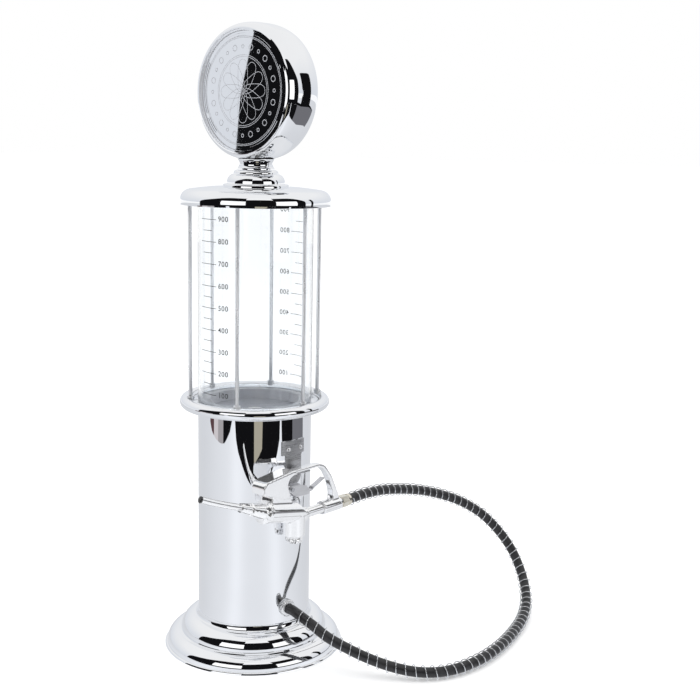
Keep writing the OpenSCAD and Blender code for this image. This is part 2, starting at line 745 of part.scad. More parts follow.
module gun_body() color("silver") {
    block_w = 14;
    root_y = -17;
    difference() {
        union() {
            intersection() {
                at_nose(barrel_tilt) translate([0, 0, -60]) cylinder(d = barrel_d, h = 60);
                gun_plate(barrel_d + 2, body_side());
            }
            translate([gun_x, valve_y, chamber_low_z]) cylinder(d = chamber_d, h = valve_z - chamber_low_z);
            gun_plate(block_w, concat([[nose_y + 14, nose_z + 9], [-52.4, nose_z + 15.1]],
                arc(-47.3, nose_z + 20, 5, 5, 180, 98, 6),
                [[root_y - 3, bar_top_z + 1.6], [root_y, bar_top_z], [root_y, bar_z + 0.5]],
                arc(root_y - 1.6, bar_z - 7, 8.2, 7.5, 90, 180, 5),
                [[pivot_y - 5.6, pivot_z - 0.5], [pivot_y - 5.6, pivot_z - 5]]));
            gun_plate(block_w - 2, [[nose_y + 0.1, nose_z],
                [nose_y + 0.1 + 13 * tan(barrel_tilt), nose_z + 13],
                [pivot_y - 5.6, pivot_z - 1], [valve_y - 2, valve_z]]);
            gun_plate(4, [[pivot_y - 6, pivot_z - 7], [pivot_y - 3, pivot_z + 2.6], [pivot_y, pivot_z + 2.6],
                [pivot_y + 2.6, pivot_z], [pivot_y + 1.5, pivot_z - 5]]);
            along_pipe(valve_y) cylinder(d = pipe_d + 2.6, h = 12.5);
        }
        translate([gun_x, valve_y, chamber_low_z - 1])
            cylinder(d = chamber_bore, h = seat_z - chamber_low_z + 1);
        translate([gun_x, valve_y, 0]) cylinder(d = stem_d + 3, h = valve_z + 1);
        translate([gun_x, valve_y, 0]) cylinder(d = stem_d + 2 * fit, h = bar_z);
        at_nose(barrel_tilt) translate([0, 0, -32]) cylinder(d = 5, h = 40);
        along_pipe(pipe_start_y) cylinder(d = pipe_d + 2 * fit, h = 40);
        along_pipe(valve_y) cylinder(d = pipe_d - 3, h = 10);
        at_pivot() cylinder(d = pin_d + 2 * fit, h = 20, center = true);
        along_bar(root_y - 6) cylinder(d = 1.9, h = 20);
    }
}

// The barrel's side view, cut off along a slope at the handle's end
function body_side() = [[-60, chamber_low_z + 4], [-60, pivot_z + 12], [pivot_y - 3.4, pivot_z + 0.3],
    [valve_y, valve_z + 6.2], [-8.6, pipe_z + 6.5], [-5, pipe_z - 2], [-4, chamber_low_z + 4]];

module at_pivot() {
    translate([gun_x, pivot_y, pivot_z]) rotate([0, 90, 0]) children();
}

module along_bar(y) {
    translate([gun_x, y, bar_z + guard_t / 2]) rotate([-90, 0, 0]) children();
}

module guard_bow() color("silver") {
    root_y = -17;
    difference() {
        union() {
            gun_plate(guard_w, concat([[root_y + fit, bar_z], [root_y + fit, bar_top_z]],
                arc(leg_y - 18.7, bar_top_z - 13.8, 13.8, 13.8, 90, 32, 7),
                [[leg_y - 2.2, pipe_z + 25.4], [leg_y + 5.5, pipe_z + 10], [leg_y + 10.9, pipe_z - 3.8],
                    [leg_y + 6, pipe_z - 1], [leg_y - 1, pipe_z + 4.6], [leg_y, pipe_z + 8.3],
                    [leg_y - 0.6, pipe_z + 13], [leg_y - 3.9, pipe_z + 22], [leg_y - 8.5, bar_z - 6.1],
                    [leg_y - 13, bar_z - 1.9], [leg_y - 18, bar_z]]));
            intersection() {
                along_pipe(sleeve_y) cylinder(d = sleeve_d, h = 30);
                gun_plate(sleeve_d + 2, [[sleeve_y - 1, pipe_z - 10], [sleeve_y - 1, pipe_z + 10],
                    [leg_y + 5.2, pipe_z + 10], [leg_y + 12.5, pipe_z - 8]]);
            }
        }
        along_pipe(0) cylinder(d = pipe_d + 2 * fit, h = 60);
    }
    along_bar(root_y - 5) cylinder(d = 1.8, h = 6);
}

module handle_pipe() color("silver") {
    difference() {
        along_pipe(pipe_start_y) cylinder(d = pipe_d, h = pipe_end_y - pipe_start_y);
        along_pipe(pipe_start_y - 1) cylinder(d = pipe_d - 3, h = pipe_end_y - pipe_start_y + 2);
    }
}

module hose_fitting() color("lightgoldenrodyellow") {
    difference() {
        union() {
            along_pipe(pipe_end_y) cylinder(d = hex_w / cos(30), h = hex_len, $fn = 6);
            along_pipe(pipe_end_y + hex_len - eps) cylinder(d = hex_w + 0.6, h = rim_len + eps);
            along_pipe(pipe_end_y - 6) cylinder(d = pipe_d - 3 - 2 * fit, h = 7);
        }
        along_pipe(pipe_end_y - 7) cylinder(d = pipe_d - 5, h = 30);
    }
}

module spout_nose() color("silver") {
    difference() {
        union() {
            at_nose(barrel_tilt) cylinder(d = barrel_d, h = 2.6);
            at_nose(spout_tilt) cylinder(d1 = 14, d2 = spout_d + 4, h = nose_len);
        }
        at_nose(spout_tilt) translate([0, 0, -3]) cylinder(d = spout_d + 2 * fit, h = nose_len + 5);
        at_nose(barrel_tilt) translate([0, 0, -20]) cylinder(d = barrel_d + 1, h = 20);
    }
}

module spout_collar() color("silver") {
    difference() {
        at_nose(spout_tilt) translate([0, 0, nose_len]) {
            cylinder(d = spout_d + 4.6, h = 1);
            cylinder(d1 = spout_d + 4, d2 = spout_d + 1.6, h = collar_len);
        }
        at_nose(spout_tilt) cylinder(d = spout_d + 2 * fit, h = nose_len + 20);
    }
}

// The spout runs straight, bends up along an arc and ends open
module spout_bar(d) {
    start = 4;
    run = nose_len + collar_len + spout_straight;
    at_nose(spout_tilt) {
        translate([0, 0, start]) cylinder(d = d, h = run - start);
        translate([0, spout_bend_r, run]) rotate([90, 0, -90]) rotate_extrude(angle = spout_bend)
            translate([spout_bend_r, 0]) circle(d = d, $fn = 48);
    }
}

module spout_tube() color("silver") {
    difference() {
        spout_bar(spout_d);
        spout_bar(spout_bore);
        at_nose(spout_tilt) translate([0, 0, 3]) cylinder(d = spout_bore, h = 10);
    }
}

module valve_cap() color("silver") {
    translate([gun_x, valve_y, chamber_low_z]) difference() {
        union() {
            translate([0, 0, -cap_h]) cylinder(d = cap_d, h = cap_h);
            cylinder(d = chamber_bore - 2 * fit, h = 5);
        }
        cylinder(d = chamber_bore - 2.6, h = 10);
        translate([0, 0, 3]) ring(10, chamber_bore / 2 - 1, 1.2);
    }
}

module cap_seal() color("black") {
    translate([gun_x, valve_y, chamber_low_z + 3.6]) rotate_extrude()
        translate([chamber_bore / 2 - 0.5, 0]) circle(r = 0.4, $fn = 24);
}

module valve_spring() color("silver") {
    wire = 0.8;
    turns = 6;
    low = chamber_low_z + wire / 2 + fit;
    high = seat_z - seal_t - plug_t - wire / 2 - fit;
    r = chamber_bore / 2 - 2.1;
    path = [for (k = [0:8 * turns]) [gun_x + r * cos(45 * k), valve_y + r * sin(45 * k),
        low + (high - low) * k / (8 * turns)]];
    swept_tube(path, wire / 2, 6);
}

module valve_stem() color("silver") {
    plug_z = seat_z - seal_t - plug_t;
    r = stem_d / 2;
    translate([gun_x, valve_y, 0]) rotate_extrude() polygon(concat(
        [[0, plug_z], [chamber_bore / 2 - 1.6, plug_z], [chamber_bore / 2 - 1.6, plug_z + plug_t],
            [r, plug_z + plug_t]],
        arc(0, stem_top_z - 0.8, r, 0.8, 0, 90, 6)));
}

module valve_seal() color("black") {
    translate([gun_x, valve_y, seat_z - seal_t])
        ring(chamber_bore / 2 - 1.6, stem_d / 2 + fit, seal_t - fit);
}

module trigger() color("gray") {
    wall_side = concat(arc(pivot_y, pivot_z, 2.8, 2.8, 90, 250, 8),
        [[valve_y - 2, floor_z], [0, floor_z], [-0.5, floor_z + 4.2], [-4, floor_z + 7.4]],
        arc(-10, pivot_z - 1.4, 3, 3.4, 60, 90, 3));
    difference() {
        gun_plate(trigger_w, wall_side);
        gun_plate(trigger_w - 2 * trigger_t, [[pivot_y - 8, floor_z + trigger_t],
            [pivot_y - 8, pivot_z + 8], [2, pivot_z + 8], [2, floor_z + trigger_t]]);
        at_pivot() cylinder(d = pin_d + 2 * fit, h = 20, center = true);
        gun_plate(trigger_w - 2 * trigger_t, [[pivot_y - 8, floor_z - 4], [pivot_y - 8, pivot_z + 8],
            [valve_y - 3, pivot_z + 8], [valve_y - 3, floor_z - 4]]);
    }
    // The flat finger tail, bent up at its end
    gun_plate(4, [[-0.5, floor_z], [6, floor_z + 1], [7.6, floor_z + 2.4], [19.6, floor_z + 7.6],
        [19.2, floor_z + 8.6], [7, floor_z + 3.4], [5.6, floor_z + 2], [-0.5, floor_z + trigger_t]]);
}

module trigger_pin() color("silver") {
    at_pivot() {
        cylinder(d = pin_d, h = trigger_w + 2 * clear + 1.6, center = true);
        for (s = [-1, 1]) translate([0, 0, s * (trigger_w / 2 + clear + 0.4)])
            cylinder(d = pin_d + 1.2, h = 0.8, center = true);
    }
}

base_shell();
bottom_plate();
base_pad();
plate_screws();
column_tube();
cage_lower_ring();
lower_gasket();
reservoir_sump();
reservoir_tube();
upper_gasket();
cage_upper_ring();
rod(0);  // rod_1
rod(1);  // rod_2
rod(2);  // rod_3
rod(3);  // rod_4
rod(4);  // rod_5
rod(5);  // rod_6
rod_collars();
rod_nuts();
outlet_tail();
outlet_nut();
inner_hose();
hose_clip();
gland_bush();
gland_nut();
hook_bracket();
hook_rivets();
hose();
hose_spring();
lid_cover();
lid_seal();
neck();
neck_stud();
stud_nut();
stud_block();
head_front_shell();
head_rear_shell();
front_dial();
rear_dial();
gun_body();
guard_bow();
handle_pipe();
hose_fitting();
spout_nose();
spout_collar();
spout_tube();
valve_cap();
cap_seal();
valve_spring();
valve_stem();
valve_seal();
trigger();
trigger_pin();
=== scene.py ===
import bpy
import math
from mathutils import Matrix, Vector


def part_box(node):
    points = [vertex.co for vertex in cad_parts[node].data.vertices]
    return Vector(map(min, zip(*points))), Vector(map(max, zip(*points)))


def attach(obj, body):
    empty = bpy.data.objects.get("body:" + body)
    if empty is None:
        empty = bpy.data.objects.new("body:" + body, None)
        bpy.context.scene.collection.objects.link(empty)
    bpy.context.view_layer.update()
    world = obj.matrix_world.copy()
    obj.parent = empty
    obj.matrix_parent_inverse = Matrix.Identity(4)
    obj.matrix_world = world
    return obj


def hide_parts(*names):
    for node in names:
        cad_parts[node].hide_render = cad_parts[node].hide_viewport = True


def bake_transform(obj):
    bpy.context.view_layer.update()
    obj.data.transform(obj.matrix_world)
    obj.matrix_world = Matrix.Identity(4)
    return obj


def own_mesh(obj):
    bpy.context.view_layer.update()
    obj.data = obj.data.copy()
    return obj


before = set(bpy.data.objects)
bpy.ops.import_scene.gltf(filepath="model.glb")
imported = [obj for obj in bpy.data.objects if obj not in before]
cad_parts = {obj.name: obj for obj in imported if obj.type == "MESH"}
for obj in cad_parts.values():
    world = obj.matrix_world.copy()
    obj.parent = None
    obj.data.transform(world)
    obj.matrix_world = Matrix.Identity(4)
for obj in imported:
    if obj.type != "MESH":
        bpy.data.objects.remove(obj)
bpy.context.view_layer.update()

# ---------------------------------------------------------------- camera
# The photograph was taken from 45 degrees round the dispenser's front corner, from
# just above the middle of the head, with a lens of about 60 mm. The picture leans a degree.
CAMERA_AZIMUTH = math.radians(45)
camera_turn = Matrix.Rotation(CAMERA_AZIMUTH, 3, "Z")
yaw, pitch, roll = (math.radians(a) for a in (4.668, 9.818, 1.077))
look = camera_turn @ Vector((math.sin(yaw) * math.cos(pitch), math.cos(yaw) * math.cos(pitch),
                             -math.sin(pitch)))
level = camera_turn @ Vector((math.cos(yaw), -math.sin(yaw), 0))
upward = level.cross(look)
right = level * math.cos(roll) + upward * math.sin(roll)
top = upward * math.cos(roll) - level * math.sin(roll)
bpy.ops.object.camera_add()
camera = bpy.context.object
camera.name = "camera"
camera.data.sensor_width = 36
camera.data.lens = 60.62
eye = camera_turn @ Vector((0, -0.92304, 0.40208))
camera.matrix_world = Matrix((
    (right.x, top.x, -look.x, eye.x),
    (right.y, top.y, -look.y, eye.y),
    (right.z, top.z, -look.z, eye.z),
    (0, 0, 0, 1)))
bpy.context.scene.camera = camera


# ---------------------------------------------------------------- free hose
# Black rubber hose of 8 mm. It leaves the column through the gland near the base, lies on
# the table in one wide loop, and rises to the hexagonal fitting at the end of the gun.
HOSE_R = 0.004


def smooth_line(route, steps):
    """The points of a smooth curve through the route, with so many steps to a stretch."""
    ends = [2 * route[0] - route[1], *route, 2 * route[-1] - route[-2]]
    line = []
    for a, b, c, d in zip(ends, ends[1:], ends[2:], ends[3:]):
        for k in range(steps):
            t = k / steps
            line.append(0.5 * (2 * b + (c - a) * t + (2 * a - 5 * b + 4 * c - d) * t * t
                               + (3 * b - a - 3 * c + d) * t ** 3))
    return line + [route[-1]]


def line_frames(line):
    """Each point's direction, and two side vectors that turn with the line and never spin."""
    last = len(line) - 1
    ahead = [(line[min(i + 1, last)] - line[max(i - 1, 0)]).normalized() for i in range(last + 1)]
    side = Vector((0, 0, 1)) if abs(ahead[0].z) < 0.9 else Vector((0, 1, 0))
    frames = []
    for d in ahead:
        side = (side - side.dot(d) * d).normalized()
        frames.append((d, side, d.cross(side)))
    return frames


def tube(name, line, radius, sides):
    """A closed round tube along a line."""
    verts, faces, rings = [], [], len(line)
    for p, (_, u, v) in zip(line, line_frames(line)):
        for j in range(sides):
            a = 2 * math.pi * j / sides
            verts.append(p + radius * (math.cos(a) * u + math.sin(a) * v))
    for i in range(rings - 1):
        for j in range(sides):
            k = (j + 1) % sides
            faces.append((i * sides + j, i * sides + k, (i + 1) * sides + k, (i + 1) * sides + j))
    faces.append(tuple(reversed(range(sides))))
    faces.append(tuple(range((rings - 1) * sides, rings * sides)))
    mesh = bpy.data.meshes.new(name)
    mesh.from_pydata(verts, [], faces)
    for face in mesh.polygons:
        face.use_smooth = len(face.vertices) == 4
    piece = bpy.data.objects.new(name, mesh)
    bpy.context.collection.objects.link(piece)
    return piece


def finish(name, colour, metallic, rough, spread=0.02, rough_spread=0.02, grain=60.0,
           stretch=(1, 1, 1), bump=0.0, bump_grain=800.0):
    """A finish whose colour, gloss and height vary a little over the piece."""
    mat = bpy.data.materials.new(name)
    mat.use_nodes = True
    nodes, links = mat.node_tree.nodes, mat.node_tree.links
    skin = nodes["Principled BSDF"]
    skin.inputs["Metallic"].default_value = metallic
    place = nodes.new("ShaderNodeTexCoord")
    turn = nodes.new("ShaderNodeMapping")
    turn.inputs["Scale"].default_value = stretch
    links.new(place.outputs["Object"], turn.inputs["Vector"])
    cloud = nodes.new("ShaderNodeTexNoise")
    cloud.inputs["Scale"].default_value = grain
    cloud.inputs["Detail"].default_value = 4
    links.new(turn.outputs["Vector"], cloud.inputs["Vector"])
    low, high = 0.3, 0.7
    tint = nodes.new("ShaderNodeValToRGB")
    tint.color_ramp.elements[0].position = low
    tint.color_ramp.elements[1].position = high
    tint.color_ramp.elements[0].color = (*(c * (1 - spread) for c in colour), 1)
    tint.color_ramp.elements[1].color = (*(min(1, c * (1 + spread)) for c in colour), 1)
    links.new(cloud.outputs["Fac"], tint.inputs["Fac"])
    links.new(tint.outputs["Color"], skin.inputs["Base Color"])
    gloss = nodes.new("ShaderNodeMapRange")
    gloss.inputs["From Min"].default_value = low
    gloss.inputs["From Max"].default_value = high
    gloss.inputs["To Min"].default_value = rough - rough_spread
    gloss.inputs["To Max"].default_value = rough + rough_spread
    links.new(cloud.outputs["Fac"], gloss.inputs["Value"])
    links.new(gloss.outputs["Result"], skin.inputs["Roughness"])
    if bump:
        pits = nodes.new("ShaderNodeTexNoise")
        pits.inputs["Scale"].default_value = bump_grain
        links.new(turn.outputs["Vector"], pits.inputs["Vector"])
        relief = nodes.new("ShaderNodeBump")
        relief.inputs["Strength"].default_value = bump
        relief.inputs["Distance"].default_value = 0.0002
        links.new(pits.outputs["Fac"], relief.inputs["Height"])
        links.new(relief.outputs["Normal"], skin.inputs["Normal"])
    return mat


gland_way = Vector((0.984808, -0.173648, 0))
HOSE_ROUTE = [gland_way * r + Vector((0, 0, z)) for r, z in (
    (0.048, 0.041), (0.051, 0.041), (0.054, 0.041), (0.061, 0.0401))] + [
    Vector(p) * 0.001 for p in (
        (75, -11, 36), (88, -8, 29), (101, -1, 22), (115, 8, 15), (131, 18, 9.5), (147, 29, 6.5),
        (159.5, 43, 5.7), (166.5, 61, 5.7), (169, 82, 5.7), (168, 104, 5.7), (164, 127, 5.7),
        (158, 150, 5.7), (151, 172, 7), (142, 192, 10.5), (131, 208, 18), (119, 218, 30),
        (106, 222, 45.5), (94, 217, 62), (83, 205, 78), (73.5, 187, 91), (66, 165, 101),
        (61, 142, 108.5), (58, 118, 114), (56.5, 94, 118), (56, 72, 119.5), (56, 58, 119.5),
        (56, 51, 119.5))]
hose_line = smooth_line(HOSE_ROUTE, 8)
hose = tube("rubber_hose", hose_line, HOSE_R, 32)
rubber = finish("hose_rubber", (0.014, 0.014, 0.016), 0.0, 0.36, spread=0.25, rough_spread=0.08,
                grain=90, bump=0.15, bump_grain=1500)
hose.data.materials.append(rubber)
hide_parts("hose")

# The hose's guard: one bright steel wire wound round it with open turns, from just
# outside the gland to the fitting. It keeps the hose from kinking.
WIRE = 0.0008
GUARD_R = 0.0052
GUARD_PITCH = 0.0076
hose_frames = line_frames(hose_line)
hose_run = [0.0]
for a, b in zip(hose_line, hose_line[1:]):
    hose_run.append(hose_run[-1] + (b - a).length)


def on_guard(s, turn):
    """The guard wire's centre at a length along the hose, turned round it by an angle."""
    i = max(k for k in range(len(hose_run) - 1) if hose_run[k] <= s)
    t = (s - hose_run[i]) / (hose_run[i + 1] - hose_run[i])
    p = hose_line[i].lerp(hose_line[i + 1], t)
    d = hose_frames[i][0].lerp(hose_frames[i + 1][0], t).normalized()
    u = hose_frames[i][1].lerp(hose_frames[i + 1][1], t)
    u = (u - u.dot(d) * d).normalized()
    return p + GUARD_R * (math.cos(turn) * u + math.sin(turn) * d.cross(u))


wire_from, wire_to = 0.017, hose_run[-1] - 2 * WIRE
wire_turns = round((wire_to - wire_from) / GUARD_PITCH)
wire_line = [on_guard(wire_from - 2 * WIRE, 0), on_guard(wire_from - WIRE, 0)]
wire_steps = 20 * wire_turns
for k in range(wire_steps + 1):
    share = k / wire_steps
    wire_line.append(on_guard(wire_from + (wire_to - wire_from) * share,
                              2 * math.pi * wire_turns * share))
wire_line += [on_guard(hose_run[-1] - WIRE, 0), on_guard(hose_run[-1] - 0.00002, 0)]
guard_wire = tube("hose_guard_wire", wire_line, WIRE / 2, 8)
wire_steel = finish("spring_wire", (0.72, 0.73, 0.75), 1.0, 0.16, spread=0.06,
                    rough_spread=0.05, grain=300)
guard_wire.data.materials.append(wire_steel)
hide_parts("hose_spring")
for piece in (hose, guard_wire):
    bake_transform(piece)


# ---------------------------------------------------------------- base
# A chromed base, spun from sheet: a thin lip, two rounded tiers and a hollow foot. It is
# closed below by a dark plate on four screws, with a thin foam rubber pad under it.
def dress(node, material):
    """Gives a CAD part its finish."""
    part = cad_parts[node]
    part.data.materials.clear()
    part.data.materials.append(material)


def arc(cx, cz, rx, rz, start, end, steps=16):
    """Points of an arc in millimetres, from one angle to another."""
    turns = [math.radians(start + (end - start) * k / steps) for k in range(steps + 1)]
    return [(cx + rx * math.cos(t), cz + rz * math.sin(t)) for t in turns]


def fine_form(piece, node, body, material):
    """Puts a fine piece in the place of the CAD part that it shows."""
    piece.data.materials.clear()
    piece.data.materials.append(material)
    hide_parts(node)
    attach(piece, body)
    return piece


SMOOTH_UNDER = math.radians(32)


def turned(name, outline, steps=256, place=Matrix()):
    """A turned piece from its closed outline, in millimetres of radius and height."""
    bpy.ops.object.select_all(action="DESELECT")
    bpy.ops.curve.primitive_nurbs_path_add()
    piece = bpy.context.object
    piece.name = piece.data.name = name
    piece.data.splines.clear()
    edge = piece.data.splines.new("POLY")
    edge.points.add(len(outline) - 1)
    for point, (r, z) in zip(edge.points, outline):
        point.co = (r * 0.001, 0, z * 0.001, 1)
    edge.use_cyclic_u = True
    piece.data.dimensions = "3D"
    bpy.ops.object.convert(target="MESH")
    piece = bpy.context.object
    bpy.ops.object.mode_set(mode="EDIT")
    bpy.ops.mesh.select_all(action="SELECT")
    bpy.ops.mesh.spin(steps=steps, angle=2 * math.pi, center=(0, 0, 0), axis=(0, 0, 1))
    bpy.ops.mesh.select_all(action="SELECT")
    bpy.ops.mesh.remove_doubles(threshold=2e-6)
    bpy.ops.mesh.normals_make_consistent(inside=False)
    bpy.ops.object.mode_set(mode="OBJECT")
    bpy.ops.object.transform_apply(location=True, rotation=True, scale=True)
    bpy.ops.object.shade_smooth_by_angle(angle=SMOOTH_UNDER)
    piece.data.transform(place)
    return piece


chrome = finish("chrome_plate", (0.88, 0.89, 0.91), 1.0, 0.014, spread=0.012, rough_spread=0.008,
                grain=30, bump=0.01, bump_grain=60)
base_outside = ([(72.2, 0.5), (72.1, 0.8), (71.85, 1.25), (71.6, 1.7), (71.2, 1.95), (70.45, 2.0)]
                + arc(60.6, 2.2, 9.8, 9.8, 0, 90, 24)
                + arc(47.5, 12.5, 11.5, 12.5, 0, 90, 24)
                + arc(47.5, 32.9, 2.3, 7.9, 270, 207, 12) + [(45.2, 29.1)])
SHEET, STRAIGHT_FOOT = 2, 6.6
base_inside = [(r - SHEET, z - SHEET) for r, z in base_outside if z > STRAIGHT_FOOT]
base = turned("base_spinning", [(41.5, 29.1)] + base_outside[::-1]
              + [(71.8, 0.4), (69, 0.4), (69, 4.4)] + base_inside + [(41.5, 27.1)])
fine_form(base, "base_shell", "stand", chrome)
dress("bottom_plate", finish("black_lacquer", (0.03, 0.03, 0.032), 0.0, 0.45, spread=0.2,
                             rough_spread=0.08, grain=200, bump=0.2, bump_grain=900))
dress("base_pad", finish("foam_rubber", (0.02, 0.02, 0.021), 0.0, 0.9, spread=0.3,
                         rough_spread=0.05, grain=700, bump=0.6, bump_grain=2500))
steel = finish("satin_steel", (0.6, 0.61, 0.63), 1.0, 0.28, spread=0.05, rough_spread=0.06,
               grain=400, bump=0.05, bump_grain=1500)
dress("plate_screws", steel)

# ---------------------------------------------------------------- column
# A straight chromed tube that stands on the base. The hose comes out near its foot through
# a plain satin bush, which a nut holds from inside.
column = turned("column_skin", [(43.8, 29.1), (45, 29.1), (45, 197.5), (43.8, 197.5)], steps=320)
fine_form(column, "column_tube", "stand", chrome)


def welded_copy(node, name):
    """A copy of a CAD part with its faces welded together, selected and ready to be shaped."""
    piece = bpy.data.objects.new(name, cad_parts[node].data.copy())
    bpy.context.collection.objects.link(piece)
    bpy.ops.object.select_all(action="DESELECT")
    piece.select_set(True)
    bpy.context.view_layer.objects.active = piece
    bpy.ops.object.mode_set(mode="EDIT")
    bpy.ops.mesh.select_all(action="SELECT")
    bpy.ops.mesh.remove_doubles(threshold=1e-6)
    bpy.ops.object.mode_set(mode="OBJECT")
    return piece


def smooth_copy(node, name, body, material):
    """A copy of a CAD part with its round faces shaded smooth."""
    piece = welded_copy(node, name)
    bpy.ops.object.shade_smooth_by_angle(angle=SMOOTH_UNDER)
    return fine_form(piece, node, body, material)


satin_chrome = finish("satin_chrome", (0.86, 0.87, 0.89), 0.75, 0.3, spread=0.02,
                      rough_spread=0.05, grain=60)
smooth_copy("gland_bush", "gland_flange", "stand", satin_chrome)
dress("gland_nut", steel)

# Inside the column the outlet's tail, its nut and the inner hose with a clip are out of sight.
nylon = finish("white_nylon", (0.82, 0.82, 0.8), 0.0, 0.5, spread=0.04, rough_spread=0.05,
               grain=150, bump=0.1)
dress("outlet_tail", nylon)
dress("outlet_nut", nylon)
INNER_ROUTE = [Vector(p) * 0.001 for p in (
    (0, 0, 172.2), (0, 0, 156), (-3, 0, 138), (-8, 0, 118), (-11, 0, 98), (-9, 0, 79),
    (-2, 0, 62))] + [
    gland_way * r + Vector((0, 0, z)) for r, z in (
        (0.008, 0.049), (0.019, 0.0424), (0.03, 0.041), (0.039, 0.041), (0.048, 0.041))]
inner_hose = tube("inner_rubber_hose", smooth_line(INNER_ROUTE, 6), HOSE_R, 24)
fine_form(inner_hose, "inner_hose", "stand", rubber)

# The hose's end is pushed over the outlet's barb, so it is hollow there.
sleeve = turned("inner_hose_sleeve", [(3.05, 172.2), (4, 172.2), (4, 182), (3.05, 182)], steps=32)
sleeve.data.materials.append(rubber)
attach(sleeve, "stand")
dress("hose_clip", steel)

# ---------------------------------------------------------------- cage
# A chromed ring with a round bead stands on the column. Six thin rods of duller chrome with
# small collars rise from it to a second ring inside the lid, and cap nuts hold them there.
ring = turned("cage_ring_bead", [(37.8, 189.5), (43.5, 189.5), (43.5, 197.5)]
              + arc(54.7, 201, 4.7, 4.7, -131.9, 192.3, 60) + [(37.8, 200)])
fine_form(ring, "cage_lower_ring", "stand", chrome)
for node in ("cage_upper_ring", "rod_nuts"):
    dress(node, chrome)
for k in range(6):
    smooth_copy("rod_%d" % (k + 1), "cage_rod_%d" % (k + 1), "stand", satin_chrome)
smooth_copy("rod_collars", "cage_rod_collars", "stand", satin_chrome)

# ---------------------------------------------------------------- reservoir
# A clear acrylic tube between two silicone rings, with a thick clear floor that drains
# to the middle.
ACRYLIC_IOR = 1.49
acrylic = finish("clear_acrylic", (0.97, 0.985, 1.0), 0.0, 0.015, spread=0.006,
                 rough_spread=0.01, grain=40)
acrylic_skin = acrylic.node_tree.nodes["Principled BSDF"]
acrylic_skin.inputs["Transmission Weight"].default_value = 1.0
acrylic_skin.inputs["IOR"].default_value = ACRYLIC_IOR
clear_tube = turned("clear_tube", [(43.5, 201), (44.8, 201), (45, 201.2), (45, 355.5),
                                   (44.8, 355.7), (43.5, 355.7)], steps=320)
fine_form(clear_tube, "reservoir_tube", "stand", acrylic)
sump_acrylic = finish("sump_acrylic", (0.8, 0.82, 0.89), 0.0, 0.1, spread=0.08,
                      rough_spread=0.04, grain=40)
sump_skin = sump_acrylic.node_tree.nodes["Principled BSDF"]
sump_skin.inputs["Transmission Weight"].default_value = 0.35
sump_skin.inputs["IOR"].default_value = ACRYLIC_IOR
smooth_copy("reservoir_sump", "clear_sump", "stand", sump_acrylic)
silicone = finish("clear_silicone", (0.78, 0.8, 0.82), 0.0, 0.4, spread=0.04,
                  rough_spread=0.06, grain=200)
for node in ("lower_gasket", "upper_gasket"):
    dress(node, silicone)

# The printed scale: a long mark and a number at every hundred millilitres, a short mark
# half way between. It is printed twice, on opposite sides of the tube, the rear one a little
# higher. Marks run from one bearing to another, in degrees round from the front.
SCALE_FOOT, SCALE_TOP, PER_HUNDRED, REAR_RISE = 0.1948, 0.349, 0.01679, 0.0042
LONG_MARK, SHORT_MARK, NUMBERS_FROM = (-20, 4), (-16, -2), 6.5
INK_R, MARK_WIDTH, NUMBER_HEIGHT, NUMBER_DROP = 0.04506, 0.00042, 0.0056, 0.0012
ink = finish("printing_ink", (0.035, 0.036, 0.04), 0.0, 0.55, spread=0.2,
             rough_spread=0.08, grain=600)


def wrap_on_tube(piece, half_turn):
    """Bends flat print, drawn with X as the way round from the front and Y as height."""
    for v in piece.data.vertices:
        a = v.co.x / INK_R + half_turn
        r = INK_R + v.co.z
        v.co = Vector((r * math.sin(a), -r * math.cos(a), v.co.y))


def join(pieces, name):
    """One piece made of several."""
    bpy.ops.object.select_all(action="DESELECT")
    for p in pieces:
        p.select_set(True)
    bpy.context.view_layer.objects.active = pieces[0]
    bpy.ops.object.join()
    whole = bpy.context.object
    whole.name = name
    return whole


for side, half_turn in (("front", 0.0), ("rear", math.pi)):
    marks = []
    for hundred in range(1, 10):
        z = SCALE_FOOT + PER_HUNDRED * hundred + (REAR_RISE if half_turn else 0.0)
        for height, mark_ends in ((z, LONG_MARK), (z + PER_HUNDRED / 2, SHORT_MARK)):
            if height > SCALE_TOP:
                continue
            start, end = (math.radians(a) * INK_R for a in mark_ends)
            bpy.ops.object.select_all(action="DESELECT")
            bpy.ops.mesh.primitive_grid_add(x_subdivisions=16, y_subdivisions=1, size=1,
                                            location=((start + end) / 2, height, 0))
            mark = bpy.context.object
            mark.scale = (end - start, MARK_WIDTH, 1)
            bpy.ops.object.transform_apply(location=True, rotation=True, scale=True)
            marks.append(mark)
        bpy.ops.object.select_all(action="DESELECT")
        bpy.ops.object.text_add(location=(math.radians(NUMBERS_FROM) * INK_R, z - NUMBER_DROP, 0))
        number = bpy.context.object
        number.data.body = str(hundred * 100)
        number.data.size = NUMBER_HEIGHT
        number.data.space_character = 1.12
        number.data.offset = 0.00006
        number.data.resolution_u = 4
        bpy.ops.object.convert(target="MESH")
        number = bpy.context.object
        bpy.ops.object.transform_apply(location=True, rotation=True, scale=True)
        marks.append(number)
    scale = join(marks, "printed_scale_" + side)
    wrap_on_tube(scale, half_turn)
    scale.data.materials.clear()
    scale.data.materials.append(ink)
    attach(scale, "stand")

